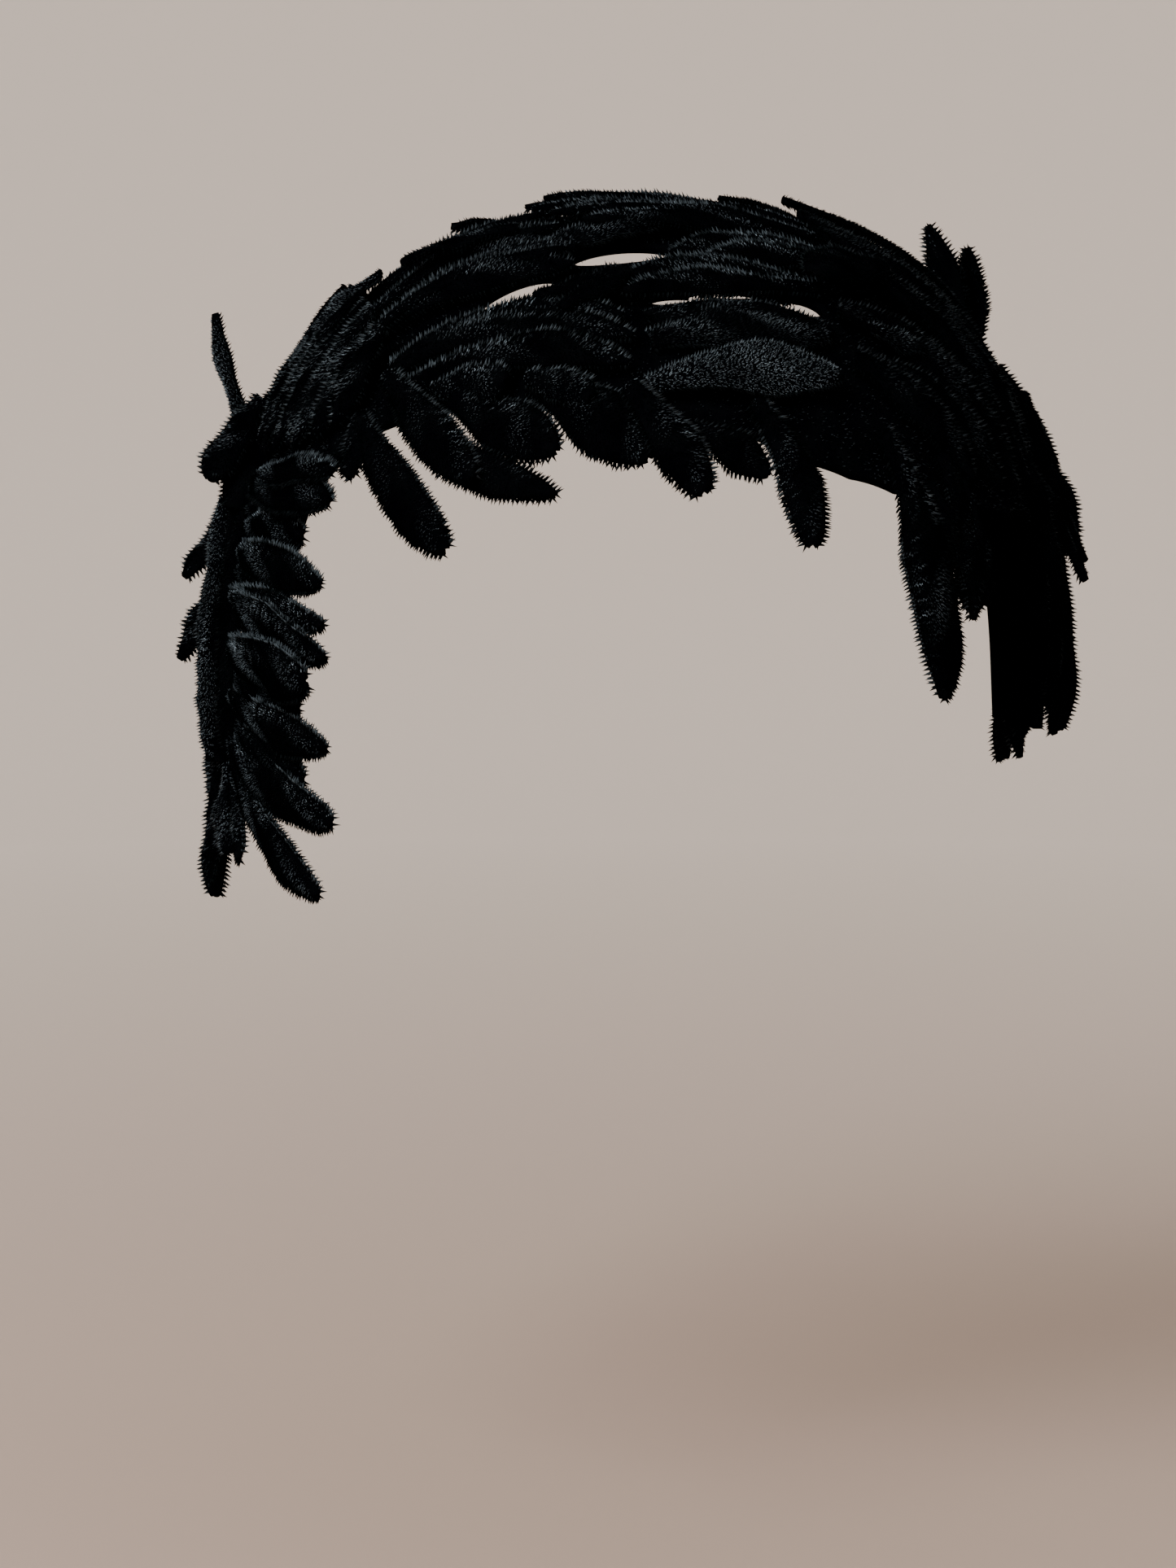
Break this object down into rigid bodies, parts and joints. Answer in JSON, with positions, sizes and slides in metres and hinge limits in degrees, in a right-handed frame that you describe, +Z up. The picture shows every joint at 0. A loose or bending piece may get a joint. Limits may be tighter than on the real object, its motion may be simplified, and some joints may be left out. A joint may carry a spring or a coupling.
{
  "type": "velvet leaf halo hat",
  "caption": "Open half hat that sits over the crown of a head: an arched velvet band covered with overlapping sprays of long velvet leaves, longer down one side.",
  "frame": {"origin": "the point on the crown of the head where the inside of the band rests", "axes": "+Z up, the wearer faces -Y, the long spray of leaves hangs down the -X side"},
  "size_m": [0.1907, 0.1407, 0.1501],
  "materials": {
    "leaf_velvet": "black silk or rayon pile velvet",
    "band_velvet": "black velvet laid flat over a stiffened net"
  },
  "bodies": {
    "root": {"back_leaf_1": "leaf_velvet", "back_leaf_2": "leaf_velvet", "back_leaf_3": "leaf_velvet", "back_leaf_4": "leaf_velvet", "back_leaf_5": "leaf_velvet", "foundation_band": "band_velvet", "front_leaf_01": "leaf_velvet", "front_leaf_02": "leaf_velvet", "front_leaf_03": "leaf_velvet", "front_leaf_04": "leaf_velvet", "front_leaf_05": "leaf_velvet", "front_leaf_06": "leaf_velvet", "front_leaf_07": "leaf_velvet", "front_leaf_08": "leaf_velvet", "front_leaf_09": "leaf_velvet", "front_leaf_10": "leaf_velvet", "left_leaf_01": "leaf_velvet", "left_leaf_02": "leaf_velvet", "left_leaf_03": "leaf_velvet", "left_leaf_04": "leaf_velvet", "left_leaf_05": "leaf_velvet", "left_leaf_06": "leaf_velvet", "left_leaf_07": "leaf_velvet", "left_leaf_08": "leaf_velvet", "left_leaf_09": "leaf_velvet", "left_leaf_10": "leaf_velvet", "left_leaf_11": "leaf_velvet", "left_rib_1": "leaf_velvet", "left_rib_2": "leaf_velvet", "left_rib_3": "leaf_velvet", "left_rib_4": "leaf_velvet", "left_rib_5": "leaf_velvet", "left_stem_ribbon": "leaf_velvet", "middle_rib_1": "leaf_velvet", "middle_rib_2": "leaf_velvet", "middle_rib_3": "leaf_velvet", "middle_rib_4": "leaf_velvet", "middle_rib_5": "leaf_velvet", "right_leaf_01": "leaf_velvet", "right_leaf_02": "leaf_velvet", "right_leaf_03": "leaf_velvet", "right_leaf_04": "leaf_velvet", "right_leaf_05": "leaf_velvet", "right_rib_1": "leaf_velvet", "right_rib_2": "leaf_velvet", "right_rib_3": "leaf_velvet", "right_rib_4": "leaf_velvet", "right_rib_5": "leaf_velvet", "right_rib_6": "leaf_velvet", "right_rib_7": "leaf_velvet", "spike_leaf": "leaf_velvet", "top_leaf_bright": "leaf_velvet", "top_leaf_wide": "leaf_velvet", "upper_rib_1": "leaf_velvet", "upper_rib_2": "leaf_velvet", "upper_rib_3": "leaf_velvet", "upper_rib_4": "leaf_velvet", "upper_rib_5": "leaf_velvet", "upper_rib_6": "leaf_velvet", "upright_leaf": "leaf_velvet"}
  },
  "joints": []
}
